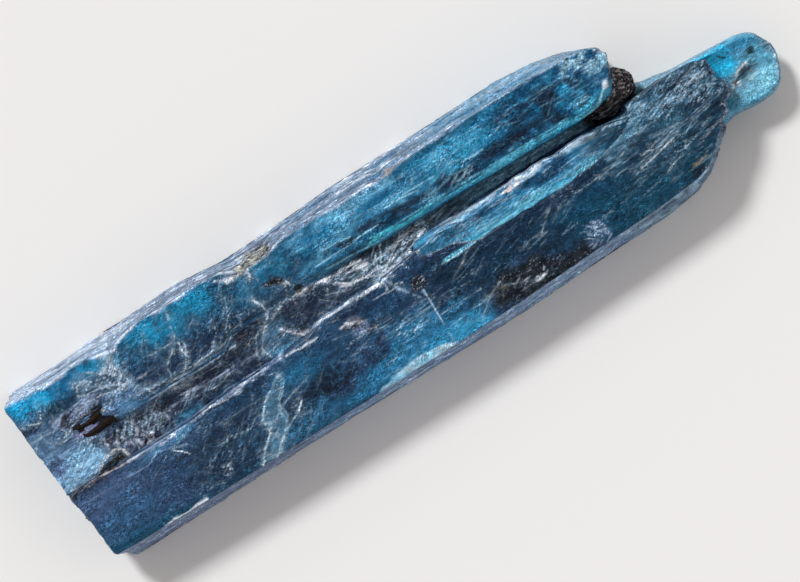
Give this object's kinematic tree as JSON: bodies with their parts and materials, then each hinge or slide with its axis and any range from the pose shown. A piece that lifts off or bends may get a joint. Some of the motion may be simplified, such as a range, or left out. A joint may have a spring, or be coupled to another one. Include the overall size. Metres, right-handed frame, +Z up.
{
  "type": "kyanite blade cluster",
  "caption": "Natural cluster of flat parallel blue kyanite blades, broken square at one end, with a rounded tip and grains of mica.",
  "frame": {"origin": "middle of the bounding box's base, on the surface that the cluster lies on", "axes": "+X along the blades from the broken end to the rounded tip, +Y towards the blade with the blunt end, +Z up"},
  "size_m": [0.08, 0.0212, 0.0069],
  "materials": {
    "kyanite_deep": "indigo to slate-blue crystal, glassy cleavage with fine striations",
    "kyanite_bright": "teal-blue crystal, glassy, silvery fibrous flank",
    "kyanite_pale": "pale cyan crystal, glassy and a little translucent",
    "mica_black": "black granular mica",
    "mica_brown": "dark brown mica, satin"
  },
  "bodies": {
    "root": {"tip_blade": "kyanite_pale", "front_blade": "kyanite_deep", "back_blade": "kyanite_bright", "sunken_blade": "kyanite_deep", "splinter_blade": "kyanite_pale", "black_grain": "mica_black", "brown_flake_1": "mica_brown", "brown_flake_2": "mica_brown"}
  },
  "joints": []
}
